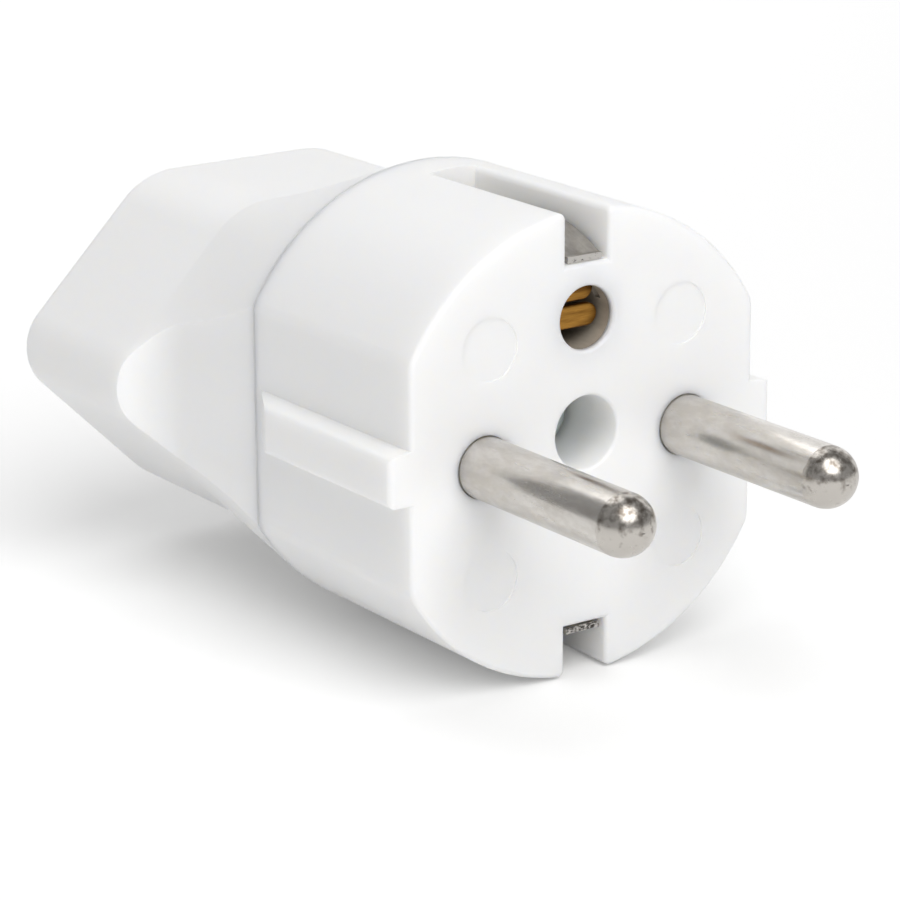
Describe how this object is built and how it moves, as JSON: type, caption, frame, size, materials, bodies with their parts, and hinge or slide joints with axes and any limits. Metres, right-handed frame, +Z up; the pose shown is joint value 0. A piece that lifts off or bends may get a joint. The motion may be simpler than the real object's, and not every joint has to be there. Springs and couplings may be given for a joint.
{
  "type": "travel adapter",
  "caption": "Travel adapter with a round earthed plug with guide ribs, side earth clips and an earth pin hole in front, and a recessed hexagonal three-hole socket behind.",
  "frame": {"origin": "on the plug's flat face, midway between the centre lines of the two pins", "axes": "+Y from the plug's face to the socket at the back, so that the pins point to -Y; +Z up, through the earth pin hole; +X to the right, seen from the front"},
  "size_m": [0.0426, 0.0693, 0.037],
  "materials": {
    "white_housing": "satin white thermoplastic",
    "carrier_plastic": "natural polyamide",
    "nickel_pin": "polished, nickel plated",
    "plated_strip": "dull, nickel plated",
    "dull_sleeve": "drawn tube, dull plating",
    "bare_brass": "rolled sheet",
    "spring_steel": "bare",
    "zinc_screw": "zinc plated"
  },
  "bodies": {
    "root": {"front_housing": "white_housing", "rear_housing": "white_housing", "contact_carrier": "carrier_plastic", "line_pin": "nickel_pin", "neutral_pin": "nickel_pin", "line_contact": "bare_brass", "neutral_contact": "bare_brass", "earth_contact": "bare_brass", "line_spring_ring": "spring_steel", "neutral_spring_ring": "spring_steel", "earth_spring_ring": "spring_steel", "earth_plate": "bare_brass", "earth_clip_top": "plated_strip", "earth_clip_bottom": "plated_strip", "earth_sleeve": "dull_sleeve", "earth_tongues": "bare_brass", "earth_rivet_top": "plated_strip", "earth_rivet_bottom": "plated_strip", "housing_screw": "zinc_screw"}
  },
  "joints": []
}
